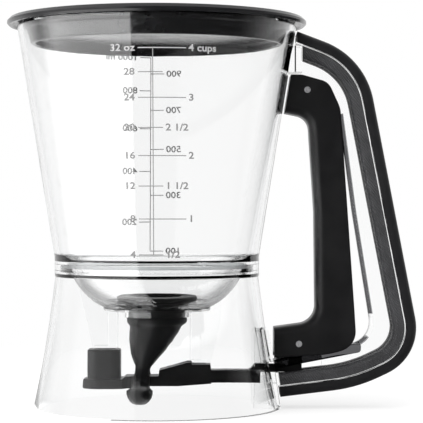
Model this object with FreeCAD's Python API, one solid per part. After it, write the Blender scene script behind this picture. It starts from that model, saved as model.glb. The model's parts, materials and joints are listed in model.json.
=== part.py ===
import FreeCAD, Part
import math
import os

os.makedirs("parts", exist_ok=True)
V = FreeCAD.Vector

# Clearances
FIT = 0.1
SEAT = 0.3
RUN = 0.05
SLIDE = 0.3
BEVEL_UNDER = 1.7
BEYOND = 30.0

# Jug and waist
WALL = 2.6
RIM_R = 66.2
RIM_TOP = 181.0
WAIST_R = 48.5
WAIST_TOP = 71.3
WAIST_BOTTOM = 62.2
JOINT_Z = 65.2
STEP_R = WAIST_R - 5.6
STEP_TOP = 70.0
STEP_BLEND = 3.0
SEAL_TOP = 68.0
SEAL_IN_R = STEP_R + 0.4
TAPER = (RIM_R - WAIST_R) / (RIM_TOP - WAIST_TOP)


def jug_radius(z):
    return WAIST_R + (z - WAIST_TOP) * TAPER


# Bowl floor
BOWL_WALL = 2.4
BOWL_FLANGE_TOP = 66.4
BOWL_FLANGE_T = 1.8
BOWL_TOP_R = STEP_R - 1.9
BOWL_MID_R = 33.4
BOWL_MID_Z = 53.1
BOWL_LOW_R = 23.8
BOWL_LOW_Z = 46.9
FLOOR_RING_R = 25.4
FLOOR_RING_BOTTOM = 46.1
OUTLET_R = 13.7
COLLAR_R = 15.3
COLLAR_BOTTOM = 42.8

# Hanging supports, under the bowl
POST_HALF_Y = 3.0
POST_ROUND = 0.8
FIN_HALF_Y = 1.2
LEFT_POST_X = (-23.3, -18.6)
LEFT_FIN_TOP_X = -38.6
LEFT_FIN_LOW_X = -30.2
LEFT_FIN_END_Z = 27.8
TENON_X = (-29.6, -19.4)
TENON_END_Z = 18.0
RIGHT_POST_X = (15.7, 20.9)
RIGHT_FIN_TOP_X = 29.8
RIGHT_FIN_LOW_X = 25.7
GUIDE_X = (17.6, 23.0)
GUIDE_HALF_Y = 1.3
GUIDE_TOP_Z = 22.5
GUIDE_FOOT_Z = 21.0
HEAD_HALF_Y = 2.6
HEAD_TOP_Z = 13.0
GUIDE_END_Z = 11.5

# Base skirt
SKIRT_WALL = 2.5
SKIRT_TOP_R = WAIST_R - 0.3
SKIRT_MID_R = 51.4
SKIRT_MID_Z = 38.0
BASE_R = 58.4
SHOULDER_IN_R = STEP_R + 0.5
SHOULDER_T = 1.0
SHOULDER_SLOPE = 1.5

# Boss on the skirt, whose end leans in as it rises
BOSS_INNER_X = 45.6
BOSS_FOOT_X = 58.3
BOSS_LEAN = 0.141
BOSS_HALF_Y = 12.0
BOSS_WALL = 2.5
BOSS_TOP = 37.5
BOSS_PLATE_TOP = 22.2
BOSS_BOTTOM = 0.6
BOSS_ROUND = 3.0

# Pins and swing
PIN_R = 1.5
PIVOT_X = 71.0
PIVOT_Z = 150.1
DRIVE_X = 67.0
DRIVE_Z = 30.6
SWING = 0.055
STROKE = SWING * (PIVOT_Z - DRIVE_Z)

# Trigger
TRIGGER_HALF_Y = 9.0
TRIGGER_WALL = 2.2
TRIGGER_GAP = (0.9121, 0.924)
CHANNEL_HALF_Y = 7.0
FINGER_ROUND = 4.2
CHEEK_ROUND = 0.9
LEG_NOTCH_TOP = 26.2

# Handle
GRIP_HALF_Y = 10.5
OUTER_GRIP_T = 5.2
OUTER_GRIP_ROUND = 3.6
FLANGE_T = 0.6
INNER_GRIP_T = 5.2
INNER_GRIP_ROUND = 2.4
WEB_HALF_Y = 1.5
TONGUE = 2.8
BEAD_HALF_Y = 3.0
BEAD_T = 2.0
BEAD_ROUND = 1.7
RAIL_HALF_Y = 6.4
RAIL_T = 4.3
RAIL_ROUND = 1.9
HEAD_X = (65.6, 68.6)
HEAD_Z = (158.6, 170.8)
HEAD_HALF_WIDTH = 9.0
PAD_TOP_T = 1.314
FOOT_T = 1.4
FOOT_Z = (11.2, 22.2)
GRIP_END_X = 66.1
EAR_R = 4.8

# Slider and jaws
JAW_HALF_Y = 6.3
JAW_TIP_X = -4.4
FIXED_TIP_X = -9.6
JAW_Z = (10.4, 15.1)
ARM_HALF_Y = 5.0
ARM_Z = (11.9, 17.9)
TAB_HALF_Y = 2.5
TAB_Z = (17.0, 20.9)
TAB_END_X = 68.6
UPRIGHT_X = (62.6, 70.8)
UPRIGHT_NARROW_Z = 25.0
UPRIGHT_TOP = 34.6
PIN_SLOT_HALF_Z = 2.4
WEDGE_START_X = 0.95
WEDGE_END_X = 25.7
WEDGE_LOW_Z = 17.8
WEDGE_FLAT_Z = 20.6
WEDGE_BUMP_Z = 21.6
BLOCK_X = (-32.7, -17.2)
BLOCK_HALF_Y = 8.0
BLOCK_Z = (12.4, 27.6)
PLATE_LEFT_X = -35.3
PLATE_HALF_Y = 8.9
PLATE_Z = (9.2, 13.8)

# Spout
SPOUT_WALL = 1.8
SPOUT_TUBE_R = 13.5
SPOUT_FLANGE_R = 19.2
SPOUT_FLANGE_T = 3.2
SPOUT_BEAD_R = 14.3
SPOUT_BEAD_BOTTOM = 38.8
NECK_X = -7.0
TIP_X = -8.3
TIP_Z = 6.9
TIP_R = 6.3
TIP_HOLE_R = 2.4
LOBE_Y = 9.3
LOBE_SIZE = (4.3, 2.6, 4.2)
LOBE_Z = 13.0

# Lid
LID_R = RIM_R + 4.6
LID_TOP = RIM_TOP + 3.0
LID_T = 2.2
LIP_BOTTOM = RIM_TOP - 0.4
PLUG_TOP_R = RIM_R - WALL - 1.6
PLUG_LOW_R = PLUG_TOP_R - 2.4
PLUG_BOTTOM = LIP_BOTTOM - 9.0
LID_DISC_LOW = LIP_BOTTOM - 4.9
LID_BEAD_R = RIM_R - WALL - 0.5

# Spring
WIRE_R = 0.5
COIL_R = 3.3
COIL_TURNS = 2
COIL_PITCH = 1.45
COIL_START_Y = 1.9
SPRING_LEGS = (5.0, 2.4)

# Handle path, outside edge, as x, z and corner radius
HANDLE_PATH = [
    (66.4, 177.7, 0.0),
    (98.3, 165.6, 36.6),
    (125.4, 24.5, 23.8),
    (94.4, 9.9, 70.0),
    (58.4, 5.5, 0.0),
]

# Window inside the handle, as x, z and corner radius
WINDOW = [
    (50.0, 142.2, 0.0),
    (77.0, 142.3, 4.0),
    (86.2, 139.0, 6.0),
    (92.4, 92.6, 120.0),
    (102.1, 32.4, 10.4),
    (57.0, 23.2, 0.0),
    (50.0, 60.0, 0.0),
]

# Trigger outline, finger side from the jug to the leg's end
FINGER_SIDE = [
    (jug_radius(139.4) + TRIGGER_GAP[0], 139.4, 0.0),
    (71.5, 137.1, 7.0),
    (74.4, 92.6, 0.0),
    (74.9, 40.9, 8.5),
    (55.3, 38.2, 0.0),
]

# Trigger outline, handle side from the leg's end to the jug
HANDLE_SIDE = [
    (55.3, 24.0, 0.0),
    (82.0, 25.6, 40.0),
    (94.2, 29.6, 9.5),
    (93.2, 46.0, 60.0),
    (86.6, 141.5, 14.0),
    (81.0, 153.8, 7.0),
    (68.6, 157.3, 3.0),
    (jug_radius(157.3) + TRIGGER_GAP[1], 157.3, 0.0),
]


def unit(dx, dz):
    length = math.hypot(dx, dz)
    return dx / length, dz / length


def corner(before, here, after):
    """Where a rounded corner starts, passes and ends, as three points in the XZ plane."""
    x, z, radius = here
    ax, az = unit(before[0] - x, before[1] - z)
    bx, bz = unit(after[0] - x, after[1] - z)
    half = math.acos(max(-1.0, min(1.0, ax * bx + az * bz))) / 2
    reach = radius / math.tan(half)
    mx, mz = unit(ax + bx, az + bz)
    middle = radius / math.sin(half) - radius
    start = V(x + ax * reach, 0, z + az * reach)
    through = V(x + mx * middle, 0, z + mz * middle)
    end = V(x + bx * reach, 0, z + bz * reach)
    return start, through, end


def rounded_edges(points, closed):
    """Lines and arcs through points given as x, z and corner radius."""
    count = len(points)
    runs = []
    for i, here in enumerate(points):
        at_end = not closed and i in (0, count - 1)
        if at_end or here[2] <= 0:
            spot = V(here[0], 0, here[1])
            runs.append((spot, None, spot))
        else:
            runs.append(corner(points[i - 1], here, points[(i + 1) % count]))
    edges = []
    for i, run in enumerate(runs):
        if run[1] is not None:
            edges.append(Part.Arc(*run).toShape())
        following = runs[(i + 1) % count]
        last = not closed and i == count - 1
        if not last and run[2].distanceToPoint(following[0]) > 1e-6:
            edges.append(Part.makeLine(run[2], following[0]))
    return edges


def face_of(points):
    return Part.Face(Part.Wire(rounded_edges(points, True)))


def slab(face, low_y, high_y):
    face = face.copy()
    face.translate(V(0, low_y, 0))
    return face.extrude(V(0, high_y - low_y, 0))


def prism(points, half_y):
    return slab(face_of(points), -half_y, half_y)


def box(x, y, z):
    return Part.makeBox(x[1] - x[0], y[1] - y[0], z[1] - z[0], V(x[0], y[0], z[0]))


def wide_box(x, half_y, z):
    return box(x, (-half_y, half_y), z)


def turned(points):
    """Revolves an outline given as x, z and corner radius. Its small corners become bevels."""
    outline = []
    for i, here in enumerate(points):
        if 0 < here[2] < BEVEL_UNDER:
            start, _, end = corner(points[i - 1], here, points[(i + 1) % len(points)])
            outline.extend([(start.x, start.z, 0.0), (end.x, end.z, 0.0)])
        else:
            outline.append(here)
    return full_turn(face_of(outline))


def full_turn(face):
    return face.revolve(V(0, 0, 0), V(0, 0, 1), 360)


def boss_end(z):
    """How far out the boss on the skirt reaches at a height."""
    return BOSS_FOOT_X - (z - BOSS_BOTTOM) * BOSS_LEAN


def beside_boss(near, far, z):
    """Corners of a slab between two distances from the boss's leaning end, from one height to another."""
    low, high = z
    return [
        (boss_end(low) + near, low, 0.0),
        (boss_end(low) + far, low, 0.0),
        (boss_end(high) + far, high, 0.0),
        (boss_end(high) + near, high, 0.0),
    ]


def face_between(edges):
    return Part.Face(Part.Wire(Part.__sortEdges__(edges)))


def lines_through(spots):
    """Straight edges from each spot, given as x and z, to the next."""
    points = [V(x, 0, z) for x, z in spots]
    return [Part.makeLine(a, b) for a, b in zip(points, points[1:])]


def arc_through(first, middle, last):
    """The arc through three spots given as x and z."""
    return Part.Arc(V(first[0], 0, first[1]), V(middle[0], 0, middle[1]), V(last[0], 0, last[1])).toShape()


def pin_along_y(x, z, radius, half_y):
    return Part.makeCylinder(radius, 2 * half_y, V(x, -half_y, z), V(0, 1, 0))


def inside_path(path, distance):
    """The same path moved inwards, to the right of its direction, with its radii reduced."""
    lines = []
    for a, b in zip(path, path[1:]):
        dx, dz = unit(b[0] - a[0], b[1] - a[1])
        nx, nz = dz * distance, -dx * distance
        lines.append(((a[0] + nx, a[1] + nz), (b[0] + nx, b[1] + nz)))
    moved = [(lines[0][0][0], lines[0][0][1], 0.0)]
    for (p, q), (r, s), point in zip(lines, lines[1:], path[1:]):
        d1 = (q[0] - p[0], q[1] - p[1])
        d2 = (s[0] - r[0], s[1] - r[1])
        cross = d1[0] * d2[1] - d1[1] * d2[0]
        t = ((r[0] - p[0]) * d2[1] - (r[1] - p[1]) * d2[0]) / cross
        moved.append((p[0] + d1[0] * t, p[1] + d1[1] * t, point[2] - distance))
    moved.append((lines[-1][1][0], lines[-1][1][1], 0.0))
    return moved


def band_face(near, far):
    """The strip between two depths inside the handle path."""
    outer = inside_path(HANDLE_PATH, near)
    inner = inside_path(HANDLE_PATH, far)
    inner.reverse()
    return face_of(outer + inner)


def edges_where(shape, test):
    picked = []
    for edge in shape.Edges:
        middle = edge.valueAt((edge.FirstParameter + edge.LastParameter) / 2)
        if test(edge, middle):
            picked.append(edge)
    return picked


def rounded(shape, radius, test):
    """Rounds the picked edges, all together or else those that take it one by one."""
    edges = edges_where(shape, test)
    try:
        result = shape.makeFillet(radius, edges)
        if result.isValid():
            return result
    except Exception:
        pass
    print("not rounded:", radius, len(edges))
    return shape


def container():
    blend_z = STEP_TOP + STEP_BLEND
    profile = [
        (WAIST_R, JOINT_Z, 0.0),
        (WAIST_R, WAIST_TOP, 6.0),
        (RIM_R, RIM_TOP, 0.9),
        (RIM_R - WALL, RIM_TOP, 0.9),
        (jug_radius(blend_z) - WALL, blend_z, 5.0),
        (STEP_R + 2.0, STEP_TOP, 1.2),
        (STEP_R, STEP_TOP - 0.6, 0.0),
        (STEP_R, SEAL_TOP, 0.0),
        (WAIST_R - WALL, SEAL_TOP, 0.0),
        (WAIST_R - WALL, JOINT_Z, 0.0),
    ]
    body = turned(profile)
    wall_inside = jug_radius(HEAD_Z[0]) - WALL / 2
    pad = prism(
        [
            (wall_inside, HEAD_Z[0], 0.0),
            (HEAD_X[0] - PAD_TOP_T, HEAD_Z[1], 0.0),
            (HEAD_X[0], HEAD_Z[1], 0.0),
            (HEAD_X[0], HEAD_Z[0], 0.0),
        ],
        HEAD_HALF_WIDTH,
    )
    hollow = turned(
        [
            (0.0, HEAD_Z[0] - 8.0, 0.0),
            (jug_radius(HEAD_Z[0] - 8.0) - WALL / 2, HEAD_Z[0] - 8.0, 0.0),
            (jug_radius(HEAD_Z[1] + 3.0) - WALL / 2, HEAD_Z[1] + 3.0, 0.0),
            (0.0, HEAD_Z[1] + 3.0, 0.0),
        ]
    )
    return body.fuse(pad.cut(hollow)).removeSplitter()


def waist_seal():
    ring = [
        (SEAL_IN_R, BOWL_FLANGE_TOP, 0.0),
        (WAIST_R - WALL - SLIDE, BOWL_FLANGE_TOP, 0.0),
        (WAIST_R - WALL - SLIDE, SEAL_TOP, 0.0),
        (SEAL_IN_R, SEAL_TOP, 0.0),
    ]
    return turned(ring)


def bowl_shell():
    """The bowl with its flange above and the outlet's collar below, as one turned wall."""
    flange_r = WAIST_R - WALL - SLIDE
    flange_low = BOWL_FLANGE_TOP - BOWL_FLANGE_T
    floor_top = BOWL_LOW_Z + BOWL_WALL
    outside = arc_through((BOWL_TOP_R, flange_low), (BOWL_MID_R, BOWL_MID_Z), (BOWL_LOW_R, BOWL_LOW_Z))
    inner_top = (BOWL_TOP_R - BOWL_WALL, BOWL_FLANGE_TOP)
    inside = arc_through((BOWL_LOW_R - 1.0, floor_top), (BOWL_MID_R - 1.7, BOWL_MID_Z + 1.8), inner_top)
    below = lines_through(
        [
            (BOWL_LOW_R, BOWL_LOW_Z),
            (FLOOR_RING_R, BOWL_LOW_Z + 0.4),
            (FLOOR_RING_R, FLOOR_RING_BOTTOM),
            (COLLAR_R, FLOOR_RING_BOTTOM),
            (COLLAR_R, COLLAR_BOTTOM),
            (OUTLET_R, COLLAR_BOTTOM),
            (OUTLET_R, floor_top),
            (BOWL_LOW_R - 1.0, floor_top),
        ]
    )
    flange = lines_through(
        [
            inner_top,
            (flange_r, BOWL_FLANGE_TOP),
            (flange_r, flange_low),
            (BOWL_TOP_R, flange_low),
        ]
    )
    return full_turn(face_between([outside, inside] + below + flange))


def under_bowl(shape):
    """Cuts away what would stand inside the bowl or the outlet."""
    into_wall = 0.4
    rim_z = BOWL_FLANGE_TOP - BOWL_FLANGE_T + into_wall
    low_z = BOWL_LOW_Z + into_wall
    arc = arc_through((BOWL_LOW_R, low_z), (BOWL_MID_R, BOWL_MID_Z + into_wall), (BOWL_TOP_R, rim_z))
    rest = lines_through(
        [
            (BOWL_TOP_R, rim_z),
            (BOWL_TOP_R, rim_z + BEYOND),
            (0, rim_z + BEYOND),
            (0, low_z),
            (BOWL_LOW_R, low_z),
        ]
    )
    return shape.cut(full_turn(face_between([arc] + rest)))


def upright_edges(edge, middle):
    first, last = edge.Vertexes[0], edge.Vertexes[-1]
    return abs(first.X - last.X) + abs(first.Y - last.Y) < 0.01


def left_support():
    top = BOWL_FLANGE_TOP - BOWL_FLANGE_T
    post = rounded(wide_box(LEFT_POST_X, POST_HALF_Y, (LEFT_FIN_END_Z, top)), POST_ROUND, upright_edges)
    fin = prism(
        [
            (LEFT_FIN_TOP_X, top, 0.0),
            (LEFT_POST_X[1], top, 0.0),
            (LEFT_POST_X[1], LEFT_FIN_END_Z, 0.0),
            (LEFT_FIN_LOW_X, LEFT_FIN_END_Z, 0.0),
        ],
        FIN_HALF_Y,
    )
    tenon = wide_box(TENON_X, POST_HALF_Y, (TENON_END_Z, LEFT_FIN_END_Z + 1.5))
    return under_bowl(post.fuse([fin, tenon]))


def right_support():
    top = BOWL_LOW_Z + 8.0
    post = rounded(wide_box(RIGHT_POST_X, POST_HALF_Y, (GUIDE_TOP_Z, top)), POST_ROUND, upright_edges)
    fin = prism(
        [
            (RIGHT_POST_X[0], top, 0.0),
            (RIGHT_FIN_TOP_X + 1.4, top, 0.0),
            (RIGHT_FIN_TOP_X, 38.9, 0.0),
            (RIGHT_FIN_LOW_X, GUIDE_TOP_Z, 0.0),
            (RIGHT_FIN_LOW_X, GUIDE_FOOT_Z, 0.0),
            (GUIDE_X[0], GUIDE_FOOT_Z, 0.0),
            (GUIDE_X[0], GUIDE_TOP_Z, 0.0),
            (RIGHT_POST_X[0], GUIDE_TOP_Z, 0.0),
        ],
        GUIDE_HALF_Y,
    )
    stem = wide_box(GUIDE_X, GUIDE_HALF_Y, (GUIDE_END_Z, GUIDE_TOP_Z))
    head = wide_box(GUIDE_X, HEAD_HALF_Y, (GUIDE_END_Z, HEAD_TOP_Z))
    return under_bowl(post.fuse([fin, stem, head]))


def bowl_floor():
    return bowl_shell().fuse([left_support(), right_support()]).removeSplitter()


def base_skirt():
    shoulder_top = BOWL_FLANGE_TOP - BOWL_FLANGE_T
    shoulder_low = shoulder_top - SHOULDER_T
    inner_top = (SKIRT_TOP_R - SKIRT_WALL, shoulder_low - SHOULDER_SLOPE)
    outside = arc_through((BASE_R, 0), (SKIRT_MID_R, SKIRT_MID_Z), (SKIRT_TOP_R, WAIST_BOTTOM))
    inside = arc_through(inner_top, (SKIRT_MID_R - SKIRT_WALL, SKIRT_MID_Z), (BASE_R - SKIRT_WALL, 0))
    waist = lines_through(
        [
            (SKIRT_TOP_R, WAIST_BOTTOM),
            (WAIST_R, WAIST_BOTTOM + SEAT),
            (WAIST_R, JOINT_Z),
            (WAIST_R - WALL, JOINT_Z),
            (WAIST_R - WALL, shoulder_top),
            (SHOULDER_IN_R, shoulder_top),
            (SHOULDER_IN_R, shoulder_low),
            inner_top,
        ]
    )
    foot = lines_through([(BASE_R - SKIRT_WALL, 0), (BASE_R, 0)])
    shell = full_turn(face_between([outside, inside] + waist + foot))
    boss = prism(boss_outline(0.0), BOSS_HALF_Y)
    boss = rounded(boss, BOSS_ROUND, lambda e, m: abs(m.z - BOSS_TOP) < 0.01 and abs(m.y) < 0.01)
    inner_half = BOSS_HALF_Y - BOSS_WALL
    into_skirt = BOSS_INNER_X - 1.0
    past_end = BOSS_FOOT_X + 1.0
    hollow = prism(boss_outline(BOSS_WALL), inner_half)
    leg_way = wide_box((into_skirt, past_end), inner_half, (BOSS_PLATE_TOP, BOSS_TOP + 1.0))
    way_low = ARM_Z[0] - SLIDE
    bar_way = wide_box((BOSS_INNER_X, past_end), ARM_HALF_Y + SLIDE, (way_low, ARM_Z[1] + SLIDE))
    tab_way = wide_box((BOSS_INNER_X, past_end), TAB_HALF_Y + SLIDE, (way_low, TAB_Z[1] + SLIDE))
    body = shell.fuse(boss.cut(hollow).cut(leg_way))
    return body.cut(bar_way).cut(tab_way).removeSplitter()


def boss_outline(wall):
    """The boss from the side, or its hollow if given a wall."""
    low = BOSS_BOTTOM if wall == 0 else 0.0
    high = BOSS_TOP if wall == 0 else BOSS_TOP + 1.0
    return [
        (BOSS_INNER_X - min(wall, 1.0), low, 0.0),
        (boss_end(low) - wall, low, 0.0),
        (boss_end(high) - wall, high, 0.0),
        (BOSS_INNER_X - min(wall, 1.0), high, 0.0),
    ]


def jug_side(shape, head_x, foot_gap):
    """Cuts off what reaches past the handle's ends towards the jug, above and below."""
    above = wide_box((head_x - BEYOND, head_x), BEYOND, (HEAD_Z[0] - 8.0, HEAD_Z[1] + BEYOND))
    below = prism(beside_boss(-BEYOND, foot_gap, (-BEYOND, BOSS_TOP + SLIDE)), BEYOND)
    return shape.cut(above).cut(below)


def travel_box():
    """The space that the slider's tab and upright sweep through the handle."""
    return wide_box(
        (BOSS_INNER_X, UPRIGHT_X[1] + STROKE + 0.6), TAB_HALF_Y + SLIDE, (TAB_Z[0] - SLIDE, UPRIGHT_TOP)
    )


def handle_frame():
    outline = inside_path(HANDLE_PATH, OUTER_GRIP_T - TONGUE)
    outline[0] = (HEAD_X[0], outline[0][1], 0.0)
    foot_x = boss_end(BOSS_TOP)
    outline[-1] = (foot_x, outline[-1][1] - (outline[-1][0] - foot_x) * BOSS_LEAN, 0.0)
    sheet = face_of(outline + [(foot_x, FOOT_Z[1], 0.0), (HEAD_X[0], FOOT_Z[1] + 40.0, 0.0)])
    window_face = face_of(WINDOW)
    beside = face_of(
        [
            (40.0, 142.0, 0.0),
            (66.3, 142.0, 0.0),
            (66.3, 150.0, 0.0),
            (68.6, 155.5, 0.0),
            (HEAD_X[0] - 0.01, HEAD_Z[0], 0.0),
            (40.0, HEAD_Z[0], 0.0),
        ]
    )
    web = slab(sheet, -WEB_HALF_Y, WEB_HALF_Y).cut(slab(window_face, -5, 5)).cut(slab(beside, -5, 5))
    flange = slab(band_face(OUTER_GRIP_T, OUTER_GRIP_T + FLANGE_T), -GRIP_HALF_Y, GRIP_HALF_Y)
    edge_line = [(WINDOW[2][0], WINDOW[2][1], 0.0), WINDOW[3], WINDOW[4], (90.0, 29.9, 0.0)]
    far = inside_path(edge_line, -BEAD_T)
    far.reverse()
    bead = slab(face_of(edge_line + far), -BEAD_HALF_Y, BEAD_HALF_Y)
    bead = rounded_along(bead, BEAD_ROUND, edge_line, BEAD_HALF_Y)
    rail = prism(
        [
            (foot_x, 22.4, 0.0),
            (93.6, 30.6, 0.0),
            (96.6, 30.4, 1.2),
            (96.4, 26.4, 1.6),
            (foot_x, 22.4 - RAIL_T, 0.0),
        ],
        RAIL_HALF_Y,
    )
    rail = rounded(rail, RAIL_ROUND, lambda e, m: abs(abs(m.y) - RAIL_HALF_Y) < 0.01 and m.x > foot_x + 1.0)
    head = wide_box(HEAD_X, HEAD_HALF_WIDTH, HEAD_Z)
    foot = prism(beside_boss(0.0, FOOT_T, FOOT_Z), GRIP_HALF_Y)
    frame = web.fuse([flange, bead, rail, head, foot])
    frame = jug_side(frame.cut(travel_box()), HEAD_X[0], 0.0)
    return frame.cut(pin_along_y(PIVOT_X, PIVOT_Z, PIN_R + RUN, 5.0)).removeSplitter()


def rounded_along(shape, radius, path, half_y):
    """Rounds the edges that follow a path on both sides of the piece."""
    line = Part.Wire(rounded_edges(path, False))

    def on_line(edge, middle):
        if abs(abs(middle.y) - half_y) > 0.01:
            return False
        return Part.Vertex(V(middle.x, 0, middle.z)).distToShape(line)[0] < 0.01

    return rounded(shape, radius, on_line)


def outer_grip():
    grip = slab(band_face(0.0, OUTER_GRIP_T - FIT), -GRIP_HALF_Y, GRIP_HALF_Y)
    grip = rounded_along(grip, OUTER_GRIP_ROUND, HANDLE_PATH, GRIP_HALF_Y)
    half_groove = WEB_HALF_Y + FIT
    groove = slab(band_face(OUTER_GRIP_T - TONGUE - FIT, OUTER_GRIP_T + 1.0), -half_groove, half_groove)
    return jug_side(grip, GRIP_END_X, 2 * FIT).cut(groove)


def inner_grip():
    near = OUTER_GRIP_T + FLANGE_T + FIT
    far = near + INNER_GRIP_T
    sides = []
    for low, high in ((WEB_HALF_Y + FIT, GRIP_HALF_Y), (-GRIP_HALF_Y, -WEB_HALF_Y - FIT)):
        piece = slab(band_face(near, far), low, high)
        piece = rounded_along(piece, INNER_GRIP_ROUND, inside_path(HANDLE_PATH, far), GRIP_HALF_Y)
        piece = jug_side(piece, HEAD_X[1] + FIT, FOOT_T + FIT)
        sides.append(piece.cut(travel_box()))
    return Part.makeCompound(sides)


def lid():
    profile = [
        (0.0, LID_DISC_LOW, 0.0),
        (PLUG_LOW_R - LID_T, LID_DISC_LOW, 1.0),
        (PLUG_LOW_R - LID_T, PLUG_BOTTOM, 0.6),
        (PLUG_LOW_R, PLUG_BOTTOM, 0.8),
        (PLUG_TOP_R - 0.6, LIP_BOTTOM - 2.6, 0.0),
        (LID_BEAD_R, LIP_BOTTOM - 1.6, 0.5),
        (LID_BEAD_R, RIM_TOP + SEAT, 0.0),
        (LID_R - 3.0, RIM_TOP + SEAT, 0.3),
        (LID_R - 2.2, LIP_BOTTOM, 0.3),
        (LID_R, LIP_BOTTOM, 0.9),
        (LID_R, LID_TOP, 1.5),
        (LID_R - 6.5, LID_TOP, 1.2),
        (LID_R - 7.5, LID_TOP - 0.9, 0.8),
        (PLUG_TOP_R - LID_T + 0.6, LID_TOP - 0.9, 1.2),
        (PLUG_LOW_R - LID_T, LID_DISC_LOW + LID_T, 1.6),
        (0.0, LID_DISC_LOW + LID_T, 0.0),
    ]
    return turned(profile)


def ellipse_wire(x, z, half_x, half_y):
    """An ellipse, or a circle, level at height z."""
    centre = V(x, 0, z)
    if abs(half_x - half_y) < 1e-6:
        return Part.Wire(Part.makeCircle(half_x, centre))
    ends = [V(x, half_y, z), V(x + half_x, 0, z)]
    if half_x > half_y:
        ends.reverse()
    return Part.Wire(Part.Ellipse(ends[0], ends[1], centre).toShape())


def loft_of(sections):
    wires = [ellipse_wire(*section) for section in sections]
    return Part.makeLoft(wires, True, True)


def lobe(side):
    """The swelling at one end of the pinched neck."""
    half_x, half_y, half_z = LOBE_SIZE
    sections = []
    for share in (-0.92, -0.45, 0.45, 0.92):
        width = math.sqrt(1 - share ** 2)
        sections.append((NECK_X - 0.4, LOBE_Z + half_z * share, half_x * width, half_y * width))
    shape = loft_of(sections)
    shape.translate(V(0, side * LOBE_Y, 0))
    return shape


def spout():
    seat = BOWL_LOW_Z + BOWL_WALL
    top = seat + SPOUT_FLANGE_T
    tube = turned(
        [
            (0.0, top, 0.0),
            (SPOUT_FLANGE_R, top, 1.0),
            (SPOUT_FLANGE_R, seat + FIT, 0.8),
            (SPOUT_TUBE_R, seat + FIT, 0.0),
            (SPOUT_TUBE_R, COLLAR_BOTTOM - FIT, 0.0),
            (SPOUT_BEAD_R, COLLAR_BOTTOM - FIT, 0.3),
            (SPOUT_BEAD_R, COLLAR_BOTTOM - 2.6, 0.8),
            (SPOUT_TUBE_R - 0.6, SPOUT_BEAD_BOTTOM, 0.4),
            (SPOUT_TUBE_R - 1.4, SPOUT_BEAD_BOTTOM - 0.6, 0.0),
            (0.0, SPOUT_BEAD_BOTTOM - 0.6, 0.0),
        ]
    )
    outer = [
        (-0.5, SPOUT_BEAD_BOTTOM + 0.6, 12.2, 12.2),
        (-1.9, 34.6, 11.3, 12.0),
        (-4.7, 25.6, 7.8, 11.0),
        (NECK_X, 16.6, 3.3, 9.2),
    ]
    inner = [(x, z, half_x - SPOUT_WALL, half_y - SPOUT_WALL) for x, z, half_x, half_y in outer]
    neck = loft_of([(NECK_X, 16.9, 3.2, 9.2), (NECK_X - 0.3, 12.0, 2.2, 8.9), (TIP_X, 7.6, 4.6, 5.6)])
    slit = loft_of([(NECK_X, 17.0, 1.4, 7.3), (NECK_X - 0.3, 12.0, 0.4, 6.8), (TIP_X, 7.4, 1.9, 2.2)])
    body = tube.fuse([loft_of(outer), neck, Part.makeSphere(TIP_R, V(TIP_X, 0, TIP_Z))])
    for side in (-1, 1):
        body = body.fuse(lobe(side))
    bore_end = SPOUT_BEAD_BOTTOM - 0.4
    bore = Part.makeCylinder(SPOUT_TUBE_R - SPOUT_WALL - 0.3, top + 1.0 - bore_end, V(-0.2, 0, bore_end))
    cavity = bore.fuse([loft_of(inner), slit])
    hole_end = TIP_Z - TIP_R - 1.0
    hole = Part.makeCylinder(TIP_HOLE_R, TIP_R + 1.5, V(TIP_X, 0, hole_end))
    cavity = cavity.fuse(hole)
    fixed_dent = wide_box(
        (TIP_X - 12.0, FIXED_TIP_X + SEAT), JAW_HALF_Y + SEAT, (PLATE_Z[0] - SEAT, PLATE_Z[1] + 1.5)
    )
    slider_dent = wide_box(
        (JAW_TIP_X - SEAT, TIP_X + 14.0), JAW_HALF_Y + SEAT, (JAW_Z[0] - SEAT, JAW_Z[1] + SEAT)
    )
    return body.cut(cavity).cut(fixed_dent).cut(slider_dent)


def fixed_jaw():
    plate = prism(
        [
            (PLATE_LEFT_X, PLATE_Z[0], 0.8),
            (FIXED_TIP_X, PLATE_Z[0] + 0.2, 0.6),
            (FIXED_TIP_X, PLATE_Z[1] + 1.2, 0.6),
            (FIXED_TIP_X - 5.0, PLATE_Z[1] + 1.2, 0.8),
            (FIXED_TIP_X - 6.4, PLATE_Z[1], 0.8),
            (PLATE_LEFT_X, PLATE_Z[1], 1.6),
        ],
        PLATE_HALF_Y,
    )
    outline = Part.makeCylinder(PLATE_HALF_Y, 10.0, V(PLATE_LEFT_X + PLATE_HALF_Y, 0, 6.0))
    outline = outline.fuse(
        box((PLATE_LEFT_X + PLATE_HALF_Y, BLOCK_X[1] + 1.0), (-PLATE_HALF_Y, PLATE_HALF_Y), (6.0, 16.0))
    )
    nose = Part.makePolygon(
        [
            V(BLOCK_X[1] + 1.0, -PLATE_HALF_Y, 6.0),
            V(BLOCK_X[1] + 3.5, -JAW_HALF_Y, 6.0),
            V(FIXED_TIP_X, -JAW_HALF_Y, 6.0),
            V(FIXED_TIP_X, JAW_HALF_Y, 6.0),
            V(BLOCK_X[1] + 3.5, JAW_HALF_Y, 6.0),
            V(BLOCK_X[1] + 1.0, PLATE_HALF_Y, 6.0),
            V(BLOCK_X[1] + 1.0, -PLATE_HALF_Y, 6.0),
        ]
    )
    outline = outline.fuse(Part.Face(nose).extrude(V(0, 0, 10.0)))
    plate = plate.common(outline)
    block = wide_box(BLOCK_X, BLOCK_HALF_Y, BLOCK_Z)
    block = rounded(block, 4.5, lambda e, m: abs(m.z - sum(BLOCK_Z) / 2) < 0.01)
    block = rounded(block, 0.7, lambda e, m: abs(m.z - BLOCK_Z[1]) < 0.01)
    pocket = wide_box(
        (TENON_X[0] - FIT, TENON_X[1] + FIT), POST_HALF_Y + FIT, (TENON_END_Z, BLOCK_Z[1] + 1.0)
    )
    return plate.fuse(block).cut(pocket).removeSplitter()


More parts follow.
